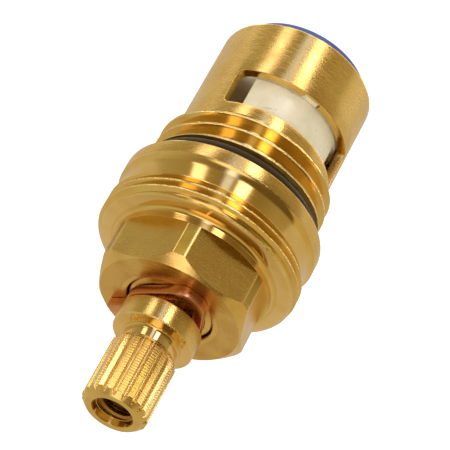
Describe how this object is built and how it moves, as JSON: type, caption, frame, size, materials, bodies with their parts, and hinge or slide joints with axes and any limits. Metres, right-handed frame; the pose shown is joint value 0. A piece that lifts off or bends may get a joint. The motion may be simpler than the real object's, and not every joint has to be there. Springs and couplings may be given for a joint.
{
  "type": "ceramic disc tap cartridge",
  "caption": "Quarter-turn ceramic disc cartridge for a tap: brass body with hexagon, threads and side windows, splined spindle held by a spring clip, blue seal at the inlet.",
  "frame": {"origin": "centre of the seal's free face, on the turning axis; the part stands on this face", "axes": "+Z runs along the turning axis from the seal to the splined tip of the spindle, the side windows face -Y and +Y, and +X completes the right-handed frame"},
  "size_m": [0.024, 0.024, 0.0516],
  "materials": {
    "turned_brass": "turned, satin",
    "spindle_brass": "turned, satin",
    "clip_bronze": "drawn strip, semi-gloss",
    "black_rubber": "moulded, satin",
    "blue_rubber": "moulded, satin",
    "disc_ceramic": "fired and lapped, matt sides",
    "white_plastic": "moulded, matt"
  },
  "bodies": {
    "housing": {"body": "turned_brass", "body_ring": "black_rubber", "fixed_disc": "disc_ceramic", "seal": "blue_rubber", "seal_support_ring": "white_plastic", "friction_washer": "white_plastic"},
    "turning_spindle": {"spindle": "spindle_brass", "spindle_clip": "clip_bronze", "spindle_ring_upper": "black_rubber", "spindle_ring_lower": "black_rubber"},
    "turning_disc": {"moving_disc": "disc_ceramic"}
  },
  "joints": [
    {"name": "spindle_turn", "type": "hinge", "parent": "housing", "child": "turning_spindle", "pos_m": [0, 0, 0.0372], "axis": [0, 0, 1], "range_deg": [0, 90]},
    {"name": "disc_turn", "type": "hinge", "parent": "housing", "child": "turning_disc", "pos_m": [0, 0, 0.0089], "axis": [0, 0, 1], "range_deg": [0, 90]}
  ],
  "couplings": [
    {"joint": "disc_turn", "follows": "spindle_turn", "ratio": 1}
  ]
}
